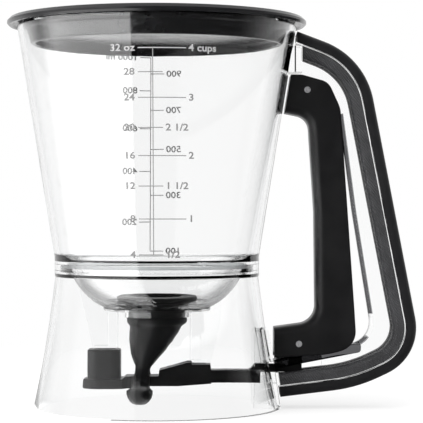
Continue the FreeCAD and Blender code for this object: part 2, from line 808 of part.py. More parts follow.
def slider_arm():
    arm_end = boss_end(ARM_Z[1]) - STROKE - 2 * SLIDE
    front = prism(
        [
            (JAW_TIP_X, JAW_Z[0], 0.6),
            (10.0, JAW_Z[0], 0.0),
            (WEDGE_END_X, ARM_Z[0] - 0.3, 0.0),
            (WEDGE_END_X, ARM_Z[1] - 1.0, 0.0),
            (WEDGE_END_X - 0.4, WEDGE_FLAT_Z, 0.4),
            (16.6, WEDGE_FLAT_Z, 0.3),
            (16.4, WEDGE_BUMP_Z, 0.3),
            (14.6, WEDGE_BUMP_Z, 0.4),
            (WEDGE_START_X + 0.2, WEDGE_LOW_Z, 0.3),
            (WEDGE_START_X, JAW_Z[1], 0.4),
            (JAW_TIP_X, JAW_Z[1], 0.6),
        ],
        JAW_HALF_Y,
    )
    bar = wide_box((WEDGE_END_X - 1.0, arm_end), ARM_HALF_Y, ARM_Z)
    bar = rounded(bar, 0.8, lambda e, m: abs(abs(m.y) - ARM_HALF_Y) < 0.01 and WEDGE_END_X < m.x < arm_end)
    tab = prism(
        [
            (arm_end - 5.0, ARM_Z[0], 0.0),
            (arm_end - 0.4, ARM_Z[0], 0.6),
            (arm_end, TAB_Z[0], 1.0),
            (TAB_END_X, TAB_Z[0], 0.4),
            (TAB_END_X, UPRIGHT_NARROW_Z, 0.0),
            (UPRIGHT_X[1], UPRIGHT_NARROW_Z + 1.5, 0.0),
            (UPRIGHT_X[1], UPRIGHT_TOP, 3.0),
            (UPRIGHT_X[0], UPRIGHT_TOP, 3.0),
            (UPRIGHT_X[0], TAB_Z[1], 1.5),
            (arm_end - 2.0, TAB_Z[1], 0.6),
            (arm_end - 5.0, ARM_Z[1], 0.0),
        ],
        TAB_HALF_Y,
    )
    pin_slot = prism(
        [
            (DRIVE_X - PIN_R - RUN, DRIVE_Z - PIN_SLOT_HALF_Z, 1.2),
            (DRIVE_X + PIN_R + RUN, DRIVE_Z - PIN_SLOT_HALF_Z, 1.2),
            (DRIVE_X + PIN_R + RUN, DRIVE_Z + PIN_SLOT_HALF_Z, 1.2),
            (DRIVE_X - PIN_R - RUN, DRIVE_Z + PIN_SLOT_HALF_Z, 1.2),
        ],
        TAB_HALF_Y + 1.0,
    )
    slot_x = (GUIDE_X[0] - STROKE - SLIDE, GUIDE_X[1] + SLIDE)
    guide_way = wide_box(slot_x, GUIDE_HALF_Y + SLIDE, (JAW_Z[0] - 1.0, WEDGE_BUMP_Z + 1.0))
    head_way = wide_box(slot_x, HEAD_HALF_Y + SLIDE, (JAW_Z[0] - 1.0, HEAD_TOP_Z + SLIDE))
    body = front.fuse([bar, tab])
    return body.cut(pin_slot).cut(guide_way).cut(head_way).removeSplitter()


def trigger():
    shape = prism(FINGER_SIDE + HANDLE_SIDE, TRIGGER_HALF_Y)
    shape = rounded_along(shape, FINGER_ROUND, FINGER_SIDE, TRIGGER_HALF_Y)
    shape = rounded_along(shape, CHEEK_ROUND, HANDLE_SIDE, TRIGGER_HALF_Y)
    inner_side = inside_path(FINGER_SIDE, -TRIGGER_WALL)
    start_x, start_z, _ = inner_side[0]
    end_x, end_z, _ = inner_side[-1]
    floor_z = HANDLE_SIDE[0][1] - BEYOND
    roof_z = PIVOT_Z + BEYOND
    behind_x = PIVOT_X + BEYOND
    cavity = [
        (start_x + TRIGGER_WALL + 1.0, start_z + 0.2, 0.0),
        *inner_side[1:-1],
        (end_x + TRIGGER_WALL, end_z + 0.3, 0.0),
        (end_x + TRIGGER_WALL, floor_z, 0.0),
        (behind_x, floor_z, 0.0),
        (behind_x, roof_z, 0.0),
        (start_x + TRIGGER_WALL + 3.2, roof_z, 0.0),
    ]
    shape = shape.cut(prism(cavity, CHANNEL_HALF_Y))
    notch_x = (end_x - 1.0, end_x + TRIGGER_WALL + 1.0)
    shape = shape.cut(wide_box(notch_x, CHANNEL_HALF_Y, (floor_z, LEG_NOTCH_TOP)))
    for x, z in ((PIVOT_X, PIVOT_Z), (DRIVE_X, DRIVE_Z)):
        shape = shape.cut(pin_along_y(x, z, PIN_R, TRIGGER_HALF_Y + 1.0))
    return shape


def pin_at(x, z):
    return pin_along_y(x, z, PIN_R, TRIGGER_HALF_Y - 0.2)


def arc_by_apex(a, apex, b):
    """The arc from a to b whose end tangents meet at the apex."""
    half_chord = (b - a).Length / 2
    middle = (a + b) * 0.5
    drop = (apex - middle).Length
    side = (apex - a).Length
    radius = side * half_chord / drop
    reach = math.sqrt(side ** 2 + radius ** 2) - radius
    through = apex + (middle - apex).normalize() * reach
    return Part.Arc(a, through, b).toShape()


def biarc(p0, t0, p1, t1):
    """Two arcs that meet smoothly and leave and arrive along the given directions."""
    v = p1 - p0
    t = t0 + t1
    a = 2 * (t0.dot(t1) - 1)
    b = -2 * v.dot(t)
    c = v.dot(v)
    d = (-b - math.sqrt(b * b - 4 * a * c)) / (2 * a)
    if d < 0:
        d = (-b + math.sqrt(b * b - 4 * a * c)) / (2 * a)
    q0 = p0 + t0 * d
    q1 = p1 - t1 * d
    joint = (q0 + q1) * 0.5
    return [arc_by_apex(p0, q0, joint), arc_by_apex(joint, q1, p1)]


def coil_gap(at, last):
    """The least distance between turns, less the wire, measured on points."""
    points = [at(last * i / 200) for i in range(201)]
    apart = int(100 / (last / math.pi))
    gaps = []
    for i, point in enumerate(points):
        for other in points[i + apart:]:
            gaps.append((other - point).Length - 2 * WIRE_R)
    return min(gaps)


def return_spring():
    """Torsion coils round the pivot pin, with one leg on the web's ear and one on the trigger's wall."""
    rise = COIL_PITCH / (2 * math.pi)

    def at(angle):
        x = PIVOT_X + COIL_R * math.cos(angle)
        z = PIVOT_Z + COIL_R * math.sin(angle)
        return V(x, COIL_START_Y + WIRE_R + rise * angle, z)

    def along(angle):
        return V(-COIL_R * math.sin(angle), rise, COIL_R * math.cos(angle)).normalize()

    quarter = math.pi / 2
    steps = 4 * COIL_TURNS + 1
    print("spring's least gap to itself", round(coil_gap(at, steps * quarter), 2))
    edges = []
    leg_end = at(0) - along(0) * SPRING_LEGS[0]
    edges.append(Part.makeLine(leg_end, at(0)))
    for i in range(steps):
        a, b = i * quarter, (i + 1) * quarter
        edges.extend(biarc(at(a), along(a), at(b), along(b)))
    last = steps * quarter
    edges.append(Part.makeLine(at(last), at(last) + along(last) * SPRING_LEGS[1]))
    spine = Part.Wire(edges)
    ring = Part.Wire(Part.makeCircle(WIRE_R, leg_end, along(0)))
    return spine.makePipeShell([ring], True, False)


PIECES = {
    "container": container,
    "waist_seal": waist_seal,
    "bowl_floor": bowl_floor,
    "base_skirt": base_skirt,
    "handle_frame": handle_frame,
    "outer_grip": outer_grip,
    "inner_grip": inner_grip,
    "lid": lid,
    "spout": spout,
    "fixed_jaw": fixed_jaw,
    "slider_arm": slider_arm,
    "trigger": trigger,
    "pivot_pin": lambda: pin_at(PIVOT_X, PIVOT_Z),
    "drive_pin": lambda: pin_at(DRIVE_X, DRIVE_Z),
    "return_spring": return_spring,
}

for name, make in PIECES.items():
    shape = make()
    solids = shape.Solids
    bounds = shape.optimalBoundingBox(True)
    print(
        name, "solids", len(solids), "valid", shape.isValid(), "volume", round(shape.Volume / 1000, 2),
        "x", round(bounds.XMin, 1), round(bounds.XMax, 1),
        "y", round(bounds.YMin, 1), round(bounds.YMax, 1),
        "z", round(bounds.ZMin, 1), round(bounds.ZMax, 1),
    )
    shape.exportStep("parts/" + name + ".step")
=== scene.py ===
import json
import math

import bmesh
import bpy
from mathutils import Matrix, Vector


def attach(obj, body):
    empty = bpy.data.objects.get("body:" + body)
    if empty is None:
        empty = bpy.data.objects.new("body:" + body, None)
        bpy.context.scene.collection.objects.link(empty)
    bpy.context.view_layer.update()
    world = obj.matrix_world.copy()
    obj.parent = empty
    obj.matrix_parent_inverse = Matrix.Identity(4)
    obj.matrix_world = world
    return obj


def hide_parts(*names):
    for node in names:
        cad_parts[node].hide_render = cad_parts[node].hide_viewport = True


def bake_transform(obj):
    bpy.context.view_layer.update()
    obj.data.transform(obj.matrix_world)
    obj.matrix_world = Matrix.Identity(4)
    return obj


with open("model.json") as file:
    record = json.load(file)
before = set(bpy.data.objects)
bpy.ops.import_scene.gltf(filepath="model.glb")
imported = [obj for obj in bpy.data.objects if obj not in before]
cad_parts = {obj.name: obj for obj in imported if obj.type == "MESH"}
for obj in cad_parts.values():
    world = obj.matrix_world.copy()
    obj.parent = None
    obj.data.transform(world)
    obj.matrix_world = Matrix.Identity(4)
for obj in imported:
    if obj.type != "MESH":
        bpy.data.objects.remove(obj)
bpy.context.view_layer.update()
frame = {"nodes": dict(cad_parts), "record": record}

# Camera, from the photograph's perspective: a pixel in metres at the jug's axis, and places in pixels
PIXEL = 0.000475
FOCAL_PIXELS = 1800.0
FRAME_PIXELS = 423.0
AXIS_PIXEL_X = 157.0
BASE_PIXEL_Y = 407.0
CENTRE_PIXEL = FRAME_PIXELS / 2
SENSOR_MM = 36.0
CLIP_START = 0.01

# The jug's outside, which carries the print, in metres
WAIST_R, WAIST_Z = 0.0485, 0.0713
RIM_R, RIM_Z = 0.0662, 0.1810

# Printed scales: a label and its line's height in metres; an ounce line also has a label in cups
OUNCES = [
    ("32 oz", 0.1650, "4 cups"),
    ("28", 0.1545, ""),
    ("24", 0.1433, "3"),
    ("20", 0.1301, "2 1/2"),
    ("16", 0.1177, "2"),
    ("12", 0.1042, "1 1/2"),
    ("8", 0.0895, "1"),
    ("4", 0.0734, "1/2"),
]
MILLILITRES = [
    ("1000 ml", 0.1713),
    ("900", 0.1629),
    ("800", 0.1542),
    ("700", 0.1442),
    ("600", 0.1348),
    ("500", 0.1242),
    ("400", 0.1131),
    ("300", 0.1010),
    ("200", 0.0875),
    ("100", 0.0729),
]

# Print: width and longest step of a line, weight, widening and curve steps of a letter, lift off the wall
LINE = 0.00042
LINE_STEP = 0.003
BOLD = 0.00009
WIDE = 1.18
LETTER_STEPS = 3
INK_LIFT = 0.0001

# Text height, and places to the right of the middle of the front or back, in metres
OUNCE_TEXT = 0.00426
OUNCE_START = -0.0066
OUNCE_LABEL_X = -0.0080
OUNCE_LONG, OUNCE_SHORT = 0.0148, 0.0044
OUNCE_GAP = 0.0011
MILLILITRE_TEXT = 0.0045
MILLILITRE_X = 0.0051
MILLILITRE_LONG, MILLILITRE_LONG_LABEL = 0.0108, 0.0119
MILLILITRE_SHORT, MILLILITRE_SHORT_LABEL = -0.0018, -0.0029

# The handle frame's lower rail and bead, painted dark as a painted reflection of the black trigger and the
# dark front in the clear plastic: where they are in metres, and their painted colour
RIB_FROM_Y = 0.0016
BEAD_LEAN = 0.149
BEAD_X_AT_FLOOR = 0.1069
BEAD_DEPTH = 0.0035
RAIL_RISE = 0.204
RAIL_Z_AT_AXIS = 0.0067
RIB_TOP_Z = 0.1400
CORNER_Z, CORNER_HALF = 0.0390, 0.0055
# Painted reflection colour for the rail and bead
RIB_PAINTED_REFLECTION = (0.12, 0.12, 0.125, 1.0)

# Soft box in reflections: its turn to the left in degrees, and its level by how far up a reflection points
BOX_FROM, BOX_TO = 19.6, 115.0
BOX_EDGE, BOX_TAIL = 0.6, 25.0
BOX_LEVEL, BOX_HIGH_LEVEL = 4.6, 0.9
BOX_LOW_Z, BOX_HIGH_Z = 0.0, 0.05
BOX_OVERHEAD = (0.35, 0.55)
BOX_OVERHEAD_LEVEL = 0.3

# Rest of the studio: dark up to one turn in degrees, white from another, and the level of the soft light
FRONT_LEVEL = 0.06
FRONT_TO, BEHIND_FROM = 75.0, 125.0
AMBIENT_LEVEL = 0.75

# Floor: size and distances in metres, and how much of its light is plain white
FLOOR_SIZE = 8.0
FLOOR_COLOR = (0.97, 0.97, 0.97, 1.0)
NEAR_FLOOR = (0.20, 0.42)
NEAR_FLOOR_LEVEL = 0.6
FLOOR_FADE = (0.12, 0.40)
SHADOW_LIFT = 0.72
THROUGH_LIFT = 0.93

# Lamps: name, place, what they point at, size and power
LAMPS = [
    ("soft_left", (-1.05, -0.75, 0.45), (0.02, 0, 0.09), (1.2, 1.4), 26.0),
    ("soft_top", (0.1, -0.1, 1.35), (0.02, 0, 0.0), (1.4, 1.4), 14.0),
]

# Clear plastic's colour straight on, the parts of a noise that are spread out, and the grip lines' slant
CLEAR = (0.996, 0.998, 0.998)
NOISE_MIDDLE = (0.3, 0.7)
TINT_MIDDLE = (0.35, 0.65)
HATCH_DEGREES = 38.0

# Clear plastics: colour at a slant, partly painted shade, waviness, and the slant from which the painted
# shade starts
CLEARS = {
    "clear_plastic": ((0.66, 0.67, 0.68), 0.10, 0.55),
    "clear_inner": ((0.05, 0.05, 0.055), 0.16, 0.42),
    "clear_handle": ((0.04, 0.04, 0.045), 0.22, 0.30),
}

# Moulded plastics and rubbers: colour, roughness, grain scale, grain strength, wear and gloss
MOULDED = {
    "black_lid": ((0.008, 0.008, 0.009), 0.18, 900.0, 0.006, 0.003, 0.4),
    "soft_grip": ((0.010, 0.010, 0.011), 0.46, 1400.0, 0.25, 0.004, 0.22),
    "silicone": ((0.006, 0.006, 0.0065), 0.42, 900.0, 0.10, 0.003, 0.22),
    "black_plastic": ((0.007, 0.007, 0.0075), 0.36, 1100.0, 0.12, 0.003, 0.22),
}

# Clear pieces with a look of their own: their own painted edge shade, and for the handle frame a painted rib
# reflection
FINISHES = {"bowl_floor": "clear_inner", "handle_frame": "clear_handle"}

SOCKET_NAMES = {
    "transmission_weight": "Transmission Weight",
    "ior": "IOR",
    "metallic": "Metallic",
    "specular_ior_level": "Specular IOR Level",
}


def new_material(name, color, roughness, **sockets):
    """A Principled material; the other sockets are named in SOCKET_NAMES."""
    material = bpy.data.materials.new(name)
    material.use_nodes = True
    shader = material.node_tree.nodes["Principled BSDF"]
    shader.inputs["Base Color"].default_value = (*color, 1.0)
    shader.inputs["Roughness"].default_value = roughness
    for key, value in sockets.items():
        shader.inputs[SOCKET_NAMES[key]].default_value = value
    return material


def shader_of(material):
    return material.node_tree.nodes["Principled BSDF"]


def noise_into(material, scale, detail=3.0, stretch=(1, 1, 1)):
    """A noise texture in the piece's own coordinates, with a scale per metre."""
    tree = material.node_tree
    place = tree.nodes.new("ShaderNodeTexCoord")
    mapping = tree.nodes.new("ShaderNodeMapping")
    mapping.inputs["Scale"].default_value = stretch
    noise = tree.nodes.new("ShaderNodeTexNoise")
    noise.inputs["Scale"].default_value = scale
    noise.inputs["Detail"].default_value = detail
    tree.links.new(place.outputs["Object"], mapping.inputs["Vector"])
    tree.links.new(mapping.outputs["Vector"], noise.inputs["Vector"])
    return noise


def feed(tree, socket, value):
    """Gives a socket a number, or links another node's output to it."""
    if isinstance(value, (int, float)):
        socket.default_value = value
    else:
        tree.links.new(value, socket)


def math_node(tree, operation, *inputs):
    """One operation on numbers or other nodes' outputs."""
    node = tree.nodes.new("ShaderNodeMath")
    node.operation = operation
    for socket, value in zip(node.inputs, inputs):
        feed(tree, socket, value)
    return node.outputs[0]


def ramp_node(tree, value, start, end, low=0.0, high=1.0):
    """Maps a value between two limits onto another range."""
    node = tree.nodes.new("ShaderNodeMapRange")
    tree.links.new(value, node.inputs["Value"])
    for key, number in (("From Min", start), ("From Max", end), ("To Min", low), ("To Max", high)):
        node.inputs[key].default_value = number
    return node.outputs["Result"]


def blend_node(tree, factor, low, high):
    """A mix of two numbers or outputs."""
    node = tree.nodes.new("ShaderNodeMix")
    for socket, value in (("Factor", factor), ("A", low), ("B", high)):
        feed(tree, node.inputs[socket], value)
    return node.outputs["Result"]


def add_bump(material, source, strength, distance):
    tree = material.node_tree
    bump = tree.nodes.new("ShaderNodeBump")
    bump.inputs["Strength"].default_value = strength
    bump.inputs["Distance"].default_value = distance
    tree.links.new(source, bump.inputs["Height"])
    tree.links.new(bump.outputs["Normal"], shader_of(material).inputs["Normal"])


def add_range(material, source, socket, low, high):
    """Drives a socket from a texture, between two values."""
    tree = material.node_tree
    result = ramp_node(tree, source, *NOISE_MIDDLE, low, high)
    tree.links.new(result, shader_of(material).inputs[socket])


def add_tint(material, source, low, high, span=TINT_MIDDLE):
    """Drives the base colour between two colours, over a span of the source."""
    tree = material.node_tree
    ramp = tree.nodes.new("ShaderNodeValToRGB")
    for element, position, color in zip(ramp.color_ramp.elements, span, (low, high)):
        element.position = position
        element.color = (*color, 1.0)
    tree.links.new(source, ramp.inputs["Fac"])
    tree.links.new(ramp.outputs["Color"], shader_of(material).inputs["Base Color"])


def painted_edge_shade(material, edge, middle, start):
    """Clear plastic is painted greyer where the eye meets it at a slant: partly the longer path through the
    plastic, and partly painted shade for the dark surroundings its edges refract and reflect.
    """
    weight = material.node_tree.nodes.new("ShaderNodeLayerWeight")
    weight.inputs["Blend"].default_value = 0.5
    add_tint(material, weight.outputs["Facing"], middle, edge, span=(start, 1.0))


def clear_plastic(name, edge, waviness, start):
    """Clear plastic with a faint unevenness from moulding, and painted shade at its edges."""
    material = new_material(name, CLEAR, roughness=0.01, transmission_weight=1.0, ior=1.36)
    # Painted shade at the edges, in the base colour
    painted_edge_shade(material, edge, CLEAR, start)
    waves = noise_into(material, scale=55.0, detail=2.0)
    add_bump(material, waves.outputs["Fac"], waviness, distance=0.0006)
    haze = noise_into(material, scale=160.0, detail=4.0)
    add_range(material, haze.outputs["Fac"], "Roughness", low=0.004, high=0.022)
    return material


def painted_rib_reflection(material):
    """The handle frame's lower rail and the bead along its window stand out of the web; they are painted
    dark grey, a painted reflection of the black trigger and the dark front that the clear plastic shows
    there.
    """
    tree = material.node_tree
    split = tree.nodes.new("ShaderNodeSeparateXYZ")
    tree.links.new(tree.nodes.new("ShaderNodeTexCoord").outputs["Object"], split.inputs[0])
    x, y, z = split.outputs
    beside_web = math_node(tree, "GREATER_THAN", math_node(tree, "ABSOLUTE", y), RIB_FROM_Y)
    bead_x = math_node(tree, "MULTIPLY_ADD", z, -BEAD_LEAN, BEAD_X_AT_FLOOR)
    inside_bead = math_node(tree, "LESS_THAN", math_node(tree, "SUBTRACT", x, bead_x), BEAD_DEPTH)
    rail_z = math_node(tree, "MULTIPLY_ADD", x, RAIL_RISE, RAIL_Z_AT_AXIS)
    above_rail = math_node(tree, "GREATER_THAN", math_node(tree, "SUBTRACT", z, rail_z), 0.0)
    below_head = math_node(tree, "LESS_THAN", z, RIB_TOP_Z)
    from_corner = math_node(tree, "ABSOLUTE", math_node(tree, "SUBTRACT", z, CORNER_Z))
    off_corner = math_node(tree, "GREATER_THAN", from_corner, CORNER_HALF)
    reflection_mask = beside_web
    for limit in (inside_bead, above_rail, below_head, off_corner):
        reflection_mask = math_node(tree, "MULTIPLY", reflection_mask, limit)
    # Painted reflection: the masked rail and bead get a dark grey base colour for the black trigger and dark
    # front they reflect
    painted_dark = tree.nodes.new("ShaderNodeMix")
    painted_dark.data_type = "RGBA"
    socket = shader_of(material).inputs["Base Color"]
    factor, low, high = painted_dark.inputs[0], painted_dark.inputs[6], painted_dark.inputs[7]
    tree.links.new(socket.links[0].from_socket, low)
    tree.links.new(reflection_mask, factor)
    high.default_value = RIB_PAINTED_REFLECTION
    tree.links.new(painted_dark.outputs[2], socket)


def clear_seal():
    """A ribbed ring of clear rubber."""
    color = (0.80, 0.82, 0.83)
    material = new_material("clear_seal", color, roughness=0.3, transmission_weight=0.85, ior=1.41)
    ribs = noise_into(material, scale=420.0, detail=2.0, stretch=(1, 1, 0.25))
    add_bump(material, ribs.outputs["Fac"], strength=0.8, distance=0.0006)
    return material


def moulded(name, color, roughness, grain_scale, grain, wear, gloss):
    """Moulded plastic or rubber: a fine skin grain and a faint change of colour and gloss."""
    material = new_material(name, color, roughness, specular_ior_level=gloss)
    skin = noise_into(material, grain_scale, detail=4.0)
    add_bump(material, skin.outputs["Fac"], grain, distance=0.0003)
    patches = noise_into(material, scale=45.0)
    add_range(material, patches.outputs["Fac"], "Roughness", roughness - 0.05, roughness + 0.06)
    tone = noise_into(material, scale=90.0)
    add_tint(material, tone.outputs["Fac"], color, tuple(c + wear for c in color))
    return material


def hatched_grip():
    """The inner grip's fine slanting lines."""
    color = (0.030, 0.030, 0.032)
    material = new_material("hatched_grip", color, roughness=0.6)
    tree = material.node_tree
    place = tree.nodes.new("ShaderNodeTexCoord")
    mapping = tree.nodes.new("ShaderNodeMapping")
    mapping.inputs["Rotation"].default_value = (0.0, math.radians(HATCH_DEGREES), 0.0)
    wave = tree.nodes.new("ShaderNodeTexWave")
    wave.bands_direction = "X"
    wave.inputs["Scale"].default_value = 330.0
    wave.inputs["Distortion"].default_value = 0.6
    tree.links.new(place.outputs["Object"], mapping.inputs["Vector"])
    tree.links.new(mapping.outputs["Vector"], wave.inputs["Vector"])
    add_bump(material, wave.outputs["Fac"], strength=0.5, distance=0.0004)
    tone = noise_into(material, scale=120.0)
    add_tint(material, tone.outputs["Fac"], color, (0.042, 0.042, 0.045))
    return material


def brushed_steel():
    """Dull steel with fine lines along the pins."""
    material = new_material("brushed_steel", (0.34, 0.34, 0.35), roughness=0.38, metallic=0.35)
    lines = noise_into(material, scale=900.0, detail=2.0, stretch=(1, 0.05, 1))
    add_bump(material, lines.outputs["Fac"], strength=0.05, distance=0.0001)
    add_range(material, lines.outputs["Fac"], "Roughness", low=0.22, high=0.4)
    return material


def scale_ink(name, tone):
    """Grey print with a faint speckle."""
    material = new_material(name, (tone, tone, tone), roughness=0.6, specular_ior_level=0.2)
    speckle = noise_into(material, scale=1500.0, detail=2.0)
    add_tint(material, speckle.outputs["Fac"], (tone * 0.9,) * 3, (tone * 1.1,) * 3)
    return material


MATERIALS = {"clear_seal": clear_seal(), "inner_grip": hatched_grip(), "steel": brushed_steel()}
for name, look in CLEARS.items():
    MATERIALS[name] = clear_plastic(name, *look)
for name, look in MOULDED.items():
    MATERIALS[name] = moulded(name, *look)
painted_rib_reflection(MATERIALS["clear_handle"])


def finish_nodes():
    """Gives each node its slot's material, or its own."""
    slots = {part["node"]: part["material_slot"] for part in frame["record"]["subparts"]}
    for name, node in frame["nodes"].items():
        node.data.materials.clear()
        node.data.materials.append(MATERIALS[FINISHES.get(name, slots[name])])


finish_nodes()


def jug_radius(z):
    """The jug's outside radius at a height."""
    return WAIST_R + (z - WAIST_Z) * (RIM_R - WAIST_R) / (RIM_Z - WAIST_Z)


def on_wall(u, z, lift, back):
    """A point on the jug's outside, u metres to the right of the middle as seen from the front or back."""
    radius = jug_radius(z) + lift
    angle = u / jug_radius(z)
    if back:
        return Vector((-radius * math.sin(angle), radius * math.cos(angle), z))
    return Vector((radius * math.sin(angle), -radius * math.cos(angle), z))


def outward_part(face):
    """How far a face looks away from the jug's axis."""
    middle = face.calc_center_median()
    return face.normal.dot(Vector((middle.x, middle.y, 0)))


def wrapped(mesh, name, back):
    """Lays a flat drawing, x across and y up, round the jug, as a thin skin of ink."""
    bm = bmesh.new()
    bm.from_mesh(mesh)
    bmesh.ops.triangulate(bm, faces=bm.faces)
    for vertex in bm.verts:
        vertex.co = on_wall(vertex.co.x, vertex.co.y, INK_LIFT, back)
    bmesh.ops.recalc_face_normals(bm, faces=bm.faces)
    if sum(outward_part(face) for face in bm.faces) < 0:
        bmesh.ops.reverse_faces(bm, faces=bm.faces)
    result = bpy.data.meshes.new(name)
    bm.to_mesh(result)
    bm.free()
    return result


def label_mesh(text, x, y, align, size):
    """A text label as a flat mesh, with its aligned side at x and its middle at y."""
    curve = bpy.data.curves.new("label", "FONT")
    curve.body = text
    curve.size = size
    curve.align_x = align
    curve.align_y = "CENTER"
    curve.resolution_u = LETTER_STEPS
    curve.offset = BOLD
    source = bpy.data.objects.new("label", curve)
    bpy.context.scene.collection.objects.link(source)
    bpy.context.view_layer.update()
    mesh = bpy.data.meshes.new_from_object(source)
    mesh.transform(Matrix.Translation((x, y, 0)) @ Matrix.Diagonal((WIDE, 1.0, 1.0, 1.0)))
    bpy.data.objects.remove(source)
    bpy.data.curves.remove(curve)
    return mesh


def add_line(bm, x0, y0, x1, y1):
    """A thin straight strip, in steps short enough to follow the jug."""
    steps = max(1, int(max(abs(x1 - x0), abs(y1 - y0)) / LINE_STEP))
    upright = abs(x1 - x0) < abs(y1 - y0)
    dx, dy = (LINE / 2, 0) if upright else (0, LINE / 2)
    rows = []
    for i in range(steps + 1):
        x = x0 + (x1 - x0) * i / steps
        y = y0 + (y1 - y0) * i / steps
        rows.append((bm.verts.new((x - dx, y - dy, 0)), bm.verts.new((x + dx, y + dy, 0))))
    for a, b in zip(rows, rows[1:]):
        bm.faces.new((a[0], a[1], b[1], b[0]))


def drawing(labels, lines):
    """One flat mesh of text labels and straight lines."""
    bm = bmesh.new()
    for label in labels:
        bm.from_mesh(label_mesh(*label))
    for line in lines:
        add_line(bm, *line)
    mesh = bpy.data.meshes.new("drawing")
    bm.to_mesh(mesh)
    bm.free()
    return mesh


# One print in three painted tones: darker in front of the white background, lighter in front of the lid, and
# lighter still on the far side in the jug's shade; the differences are painted light and shade
INK = scale_ink("scale_ink", 0.19)
TOP_INK_PAINTED_LIGHT = scale_ink("scale_ink_top_painted_light", 0.38)
FAR_INK_PAINTED_LIGHT = scale_ink("scale_ink_far_painted_light", 0.62)


def place_print(name, labels, lines, back, ink):
    """Prints labels and lines on the jug's front or back."""
    mesh = wrapped(drawing(labels, lines), name, back)
    piece = bpy.data.objects.new(name, mesh)
    bpy.context.scene.collection.objects.link(piece)
    mesh.materials.append(ink)
    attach(piece, "root")


def ounce_rows(rows, first, top):
    """Labels and lines of the rows, with the upright line up to the height given."""
    labels = []
    lines = [(0.0, rows[-1][1], 0.0, top)]
    for i, (left, z, right) in enumerate(rows, first):
        end = OUNCE_LONG if i % 2 == 0 else OUNCE_SHORT
        lines.append((OUNCE_START, z, end, z))
        labels.append((left, OUNCE_LABEL_X, z, "RIGHT", OUNCE_TEXT))
        if right:
            labels.append((right, end + OUNCE_GAP, z, "LEFT", OUNCE_TEXT))
    return labels, lines


def ounce_scale():
    """The top row, in front of the lid, has its ink painted lighter than the rows in front of the white
    background: painted light and shade on one and the same print.
    """
    rim_row, rows = OUNCES[:1], OUNCES[1:]
    top = rim_row[0][1]
    place_print("scale_ounces_top", *ounce_rows(rim_row, 0, top), back=False, ink=TOP_INK_PAINTED_LIGHT)
    place_print("scale_ounces", *ounce_rows(rows, 1, top), back=False, ink=INK)


def millilitre_scale():
    """Printed on the far side, to be read from there, so it shows mirrored through the jug; its ink is
    painted lighter against the shade it lies in.
    """
    labels = []
    lines = [(MILLILITRE_X, MILLILITRES[-1][1], MILLILITRE_X, MILLILITRES[0][1])]
    for i, (text, z) in enumerate(MILLILITRES):
        if i % 2 == 0:
            end, label_x, align = MILLILITRE_LONG, MILLILITRE_LONG_LABEL, "LEFT"
        else:
            end, label_x, align = MILLILITRE_SHORT, MILLILITRE_SHORT_LABEL, "RIGHT"
        lines.append((MILLILITRE_X, z, end, z))
        labels.append((text, label_x, z, align, MILLILITRE_TEXT))
    place_print("scale_millilitres", labels, lines, back=True, ink=FAR_INK_PAINTED_LIGHT)


ounce_scale()
millilitre_scale()


# Spout in millimetres: rings down the tube, as middle x, height, half width, half depth and pinch
SPOUT_RINGS = [
    (0.0, 52.5, 18.3, 18.3, 0.0),
    (0.0, 52.1, 19.0, 19.0, 0.0),
    (0.0, 51.0, 19.15, 19.15, 0.0),
    (0.0, 50.0, 19.0, 19.0, 0.0),
    (0.0, 49.5, 18.4, 18.4, 0.0),
    (0.0, 49.45, 13.9, 13.9, 0.0),
    (0.0, 49.0, 13.5, 13.5, 0.0),
    (0.0, 43.1, 13.5, 13.5, 0.0),
    (0.0, 42.72, 13.6, 13.6, 0.0),
    (0.0, 42.68, 14.1, 14.1, 0.0),
    (0.0, 42.2, 14.3, 14.3, 0.0),
    (0.0, 40.9, 14.3, 14.3, 0.0),
    (-0.1, 40.0, 13.9, 13.9, 0.0),
    (-0.3, 39.2, 13.0, 13.0, 0.0),
    (-0.6, 38.5, 12.3, 12.4, 0.0),
    (-0.9, 37.4, 12.0, 12.3, 0.0),
    (-1.5, 35.4, 11.6, 12.2, 0.0),
    (-2.7, 32.0, 10.5, 11.9, 0.0),
    (-3.7, 28.8, 9.2, 11.5, 0.0),
    (-4.8, 25.6, 7.7, 11.0, 0.0),
    (-5.6, 22.6, 6.2, 10.5, 0.1),
    (-6.3, 19.8, 4.9, 10.1, 0.3),
    (-6.8, 17.9, 4.0, 10.3, 0.6),
    (-7.0, 16.4, 3.6, 10.9, 0.85),
    (-7.2, 14.8, 3.9, 11.6, 1.0),
    (-7.4, 13.0, 4.3, 11.9, 1.0),
    (-7.5, 11.2, 4.2, 11.5, 1.0),
    (-7.8, 9.8, 4.5, 9.8, 0.75),
    (-8.1, 8.9, 5.8, 7.4, 0.3),
    (-8.3, 7.6, 6.25, 6.4, 0.0),
    (-8.3, 6.0, 6.2, 6.2, 0.0),
    (-8.3, 4.2, 5.7, 5.7, 0.0),
    (-8.3, 2.6, 4.6, 4.6, 0.0),
    (-8.3, 1.5, 3.3, 3.3, 0.0),
    (-8.3, 1.15, 2.5, 2.5, 0.0),
]
SPOUT_MOUTH = (0.0, 52.5, 11.6, 11.6, 0.0)
SPOUT_WALL = 1.7
SPOUT_SIDES = 64

# Pinched ring: half thickness of its flat middle in millimetres, and the least of it
PINCH_HALF = 2.2
LEAST_HALF = 0.3

# In parts of its half depth: reach of the flat middle, middle and half length of a lobe, start of its tip
FLAT_REACH = 0.72
LOBE_MIDDLE, LOBE_HALF = 0.78, 0.24
TIP_FROM = 0.995

# In parts of its half width: the least width
LEAST_WIDTH = 0.02


